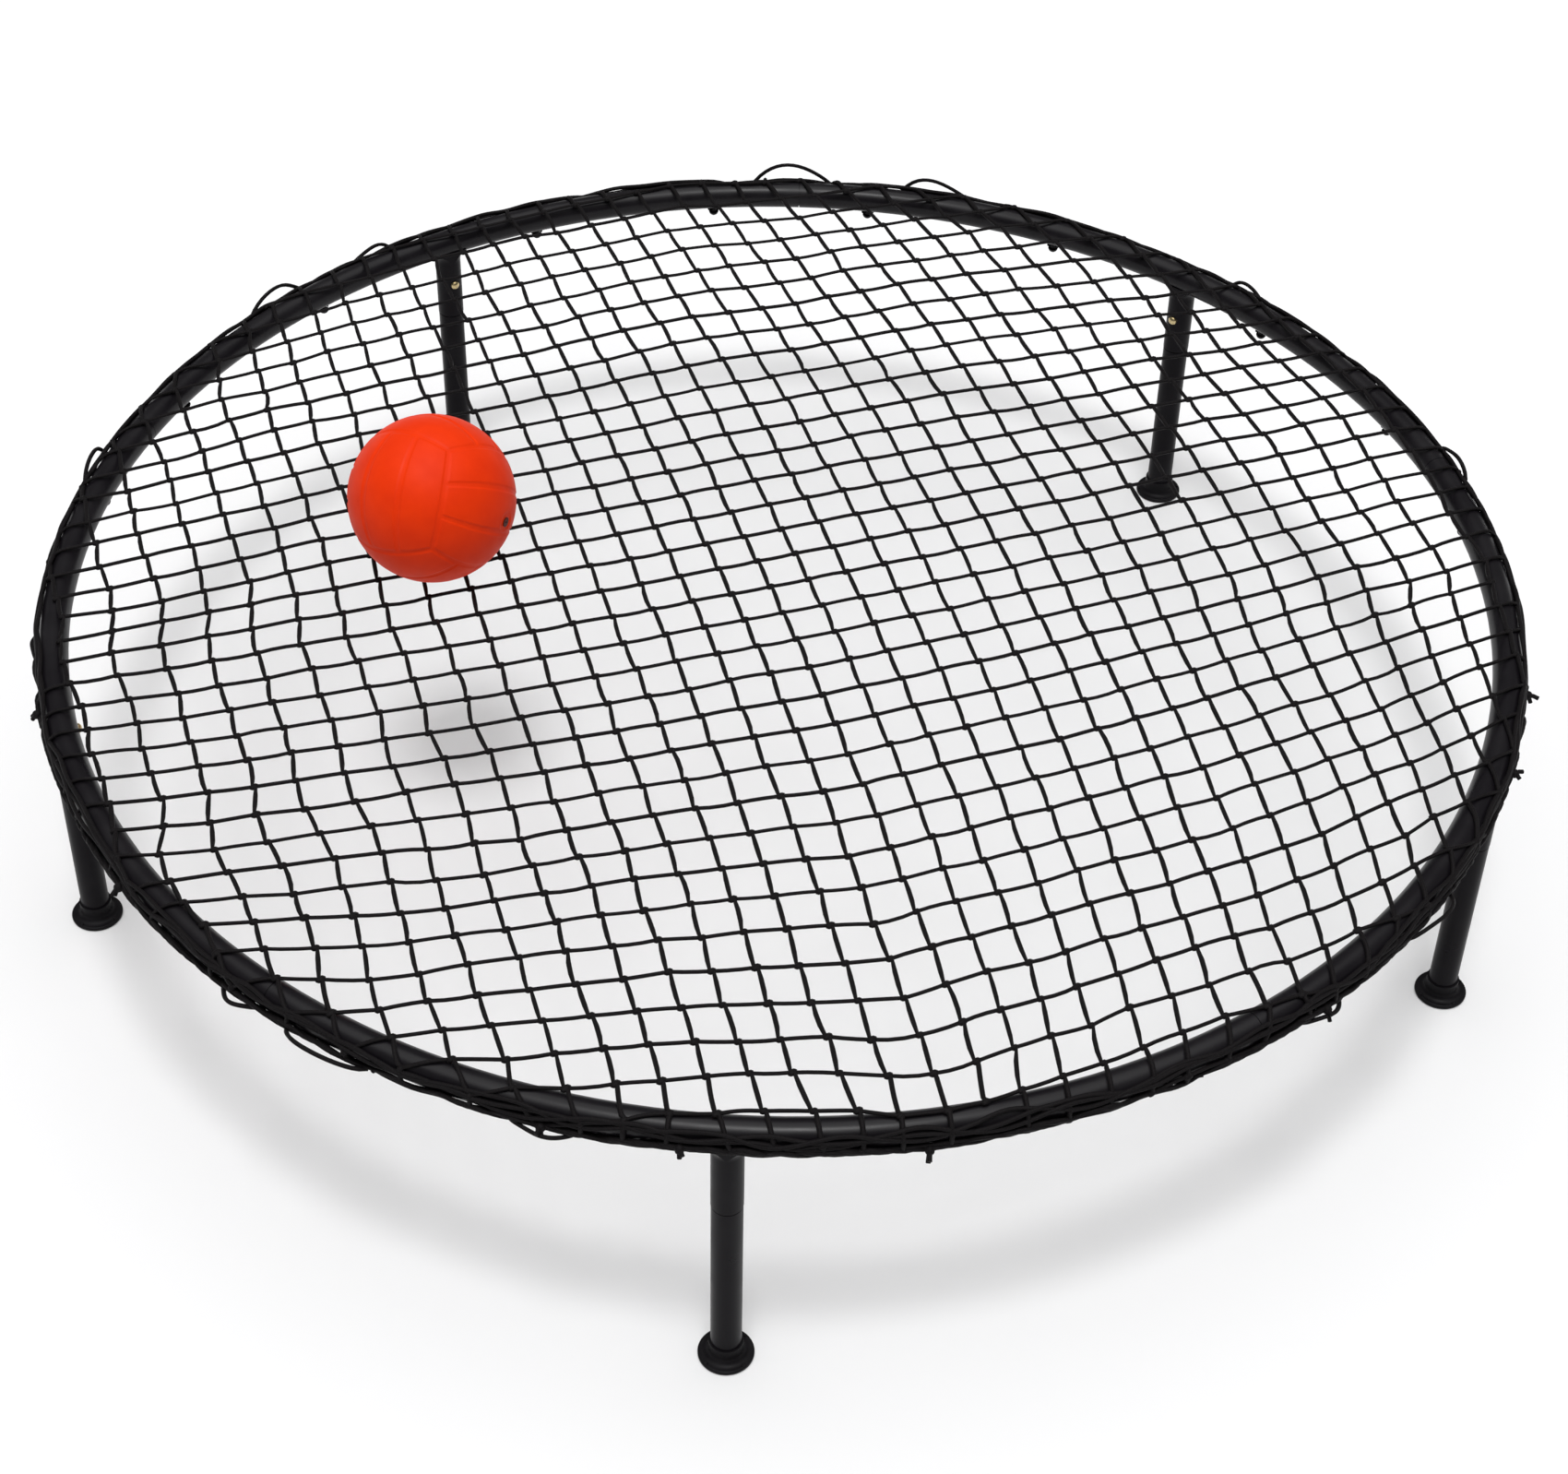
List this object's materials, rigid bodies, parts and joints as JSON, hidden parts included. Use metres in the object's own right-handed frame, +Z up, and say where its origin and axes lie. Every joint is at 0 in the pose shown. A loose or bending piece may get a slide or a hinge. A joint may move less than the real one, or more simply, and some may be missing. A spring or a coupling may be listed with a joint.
{
  "type": "roundnet set",
  "caption": "Roundnet set: knotted net hooked over a round tube frame on pull-out legs with snap buttons and rubber feet, with a rubber ball resting on the net.",
  "frame": {"origin": "on the floor, under the middle of the ring", "axes": "+Z up, -Y through the front leg, +X to the right seen from the front"},
  "size_m": [0.9301, 0.9302, 0.3034],
  "materials": {
    "ring_steel": "satin black powder coat",
    "socket_steel": "satin black powder coat",
    "leg_steel": "satin black powder coat",
    "foot_rubber": "smooth black rubber",
    "button_metal": "polished, nickel-brass colour",
    "spring_steel": "bright spring steel",
    "peg_plastic": "black moulded plastic",
    "net_cord": "black braided cord",
    "ball_rubber": "satin orange-red rubber with shallow grooves",
    "valve_rubber": "dark red rubber"
  },
  "bodies": {
    "root": {"ring_segment_front": "ring_steel", "leg_socket_front": "socket_steel", "net_pegs_front": "peg_plastic", "ring_segment_right": "ring_steel", "leg_socket_right": "socket_steel", "net_pegs_right": "peg_plastic", "ring_segment_back_right": "ring_steel", "leg_socket_back_right": "socket_steel", "net_pegs_back_right": "peg_plastic", "ring_segment_back_left": "ring_steel", "leg_socket_back_left": "socket_steel", "net_pegs_back_left": "peg_plastic", "ring_segment_left": "ring_steel", "leg_socket_left": "socket_steel", "net_pegs_left": "peg_plastic", "net": "net_cord", "net_margin": "net_cord"},
    "leg_front": {"leg_tube_front": "leg_steel", "foot_cap_front": "foot_rubber", "snap_spring_front": "spring_steel"},
    "button_front": {"snap_button_front": "button_metal"},
    "leg_right": {"leg_tube_right": "leg_steel", "foot_cap_right": "foot_rubber", "snap_spring_right": "spring_steel"},
    "button_right": {"snap_button_right": "button_metal"},
    "leg_back_right": {"leg_tube_back_right": "leg_steel", "foot_cap_back_right": "foot_rubber", "snap_spring_back_right": "spring_steel"},
    "button_back_right": {"snap_button_back_right": "button_metal"},
    "leg_back_left": {"leg_tube_back_left": "leg_steel", "foot_cap_back_left": "foot_rubber", "snap_spring_back_left": "spring_steel"},
    "button_back_left": {"snap_button_back_left": "button_metal"},
    "leg_left": {"leg_tube_left": "leg_steel", "foot_cap_left": "foot_rubber", "snap_spring_left": "spring_steel"},
    "button_left": {"snap_button_left": "button_metal"},
    "ball": {"ball_shell": "ball_rubber", "ball_valve": "valve_rubber"}
  },
  "joints": [
    {"name": "leg_front_pull", "type": "slide", "parent": "root", "child": "leg_front", "axis": [0, 0, -1], "range_m": [0, 0.06], "deforming": ["snap_button_front"]},
    {"name": "button_front_press", "type": "slide", "parent": "leg_front", "child": "button_front", "axis": [0, -1, 0], "range_m": [0, 0.0038], "stiffness_N_per_m": 1500, "springref_m": -0.0015, "deforming": ["snap_spring_front"]},
    {"name": "leg_right_pull", "type": "slide", "parent": "root", "child": "leg_right", "axis": [0, 0, -1], "range_m": [0, 0.06], "deforming": ["snap_button_right"]},
    {"name": "button_right_press", "type": "slide", "parent": "leg_right", "child": "button_right", "axis": [0.9511, -0.309, 0], "range_m": [0, 0.0038], "stiffness_N_per_m": 1500, "springref_m": -0.0015, "deforming": ["snap_spring_right"]},
    {"name": "leg_back_right_pull", "type": "slide", "parent": "root", "child": "leg_back_right", "axis": [0, 0, -1], "range_m": [0, 0.06], "deforming": ["snap_button_back_right"]},
    {"name": "button_back_right_press", "type": "slide", "parent": "leg_back_right", "child": "button_back_right", "axis": [0.5878, 0.809, 0], "range_m": [0, 0.0038], "stiffness_N_per_m": 1500, "springref_m": -0.0015, "deforming": ["snap_spring_back_right"]},
    {"name": "leg_back_left_pull", "type": "slide", "parent": "root", "child": "leg_back_left", "axis": [0, 0, -1], "range_m": [0, 0.06], "deforming": ["snap_button_back_left"]},
    {"name": "button_back_left_press", "type": "slide", "parent": "leg_back_left", "child": "button_back_left", "axis": [-0.5878, 0.809, 0], "range_m": [0, 0.0038], "stiffness_N_per_m": 1500, "springref_m": -0.0015, "deforming": ["snap_spring_back_left"]},
    {"name": "leg_left_pull", "type": "slide", "parent": "root", "child": "leg_left", "axis": [0, 0, -1], "range_m": [0, 0.06], "deforming": ["snap_button_left"]},
    {"name": "button_left_press", "type": "slide", "parent": "leg_left", "child": "button_left", "axis": [-0.9511, -0.309, 0], "range_m": [0, 0.0038], "stiffness_N_per_m": 1500, "springref_m": -0.0015, "deforming": ["snap_spring_left"]},
    {"name": "ball_lift", "type": "slide", "parent": "root", "child": "ball", "axis": [0, 0, 1], "range_m": [0, 0.25]}
  ]
}
